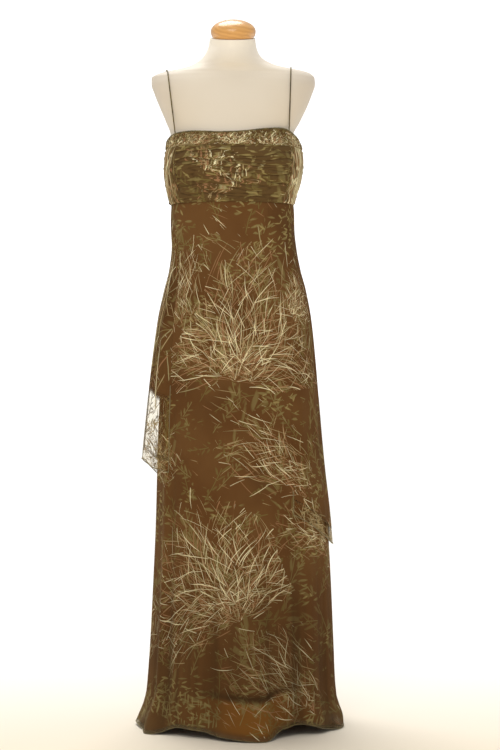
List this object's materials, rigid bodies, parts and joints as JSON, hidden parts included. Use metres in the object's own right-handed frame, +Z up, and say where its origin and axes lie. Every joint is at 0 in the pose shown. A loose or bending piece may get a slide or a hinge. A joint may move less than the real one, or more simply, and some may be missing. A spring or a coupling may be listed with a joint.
{
  "type": "evening gown on a dress form",
  "caption": "Full-length evening gown in printed chiffon with thin straps, a ruched bodice and a floating overskirt, on a limbless dress form with a stand.",
  "frame": {"origin": "middle of the stand's underside, on the floor", "axes": "+Z up along the form, -Y to the front of the gown, +X to the viewer's right"},
  "size_m": [0.4725, 0.4319, 1.6166],
  "materials": {
    "chiffon": "matte printed chiffon, brown ground",
    "sheer_chiffon": "single sheer layer of the same printed chiffon",
    "satin": "soft sheen lining satin, orange brown",
    "rouleau": "dark rolled chiffon cord",
    "form_skin": "smooth matte cream",
    "turned_wood": "varnished turned wood",
    "stand_metal": "satin paint"
  },
  "bodies": {
    "root": {"bodice_front": "chiffon", "bodice_side_left": "chiffon", "bodice_side_right": "chiffon", "bodice_back": "chiffon", "top_band_front": "chiffon", "top_band_back": "chiffon", "skirt_front": "chiffon", "skirt_back": "chiffon", "overskirt": "sheer_chiffon", "lining_front": "satin", "lining_back": "satin", "strap_left": "rouleau", "strap_right": "rouleau", "form_torso": "form_skin", "neck_cap": "turned_wood", "stand_pole": "stand_metal", "stand_base": "stand_metal"}
  },
  "joints": []
}
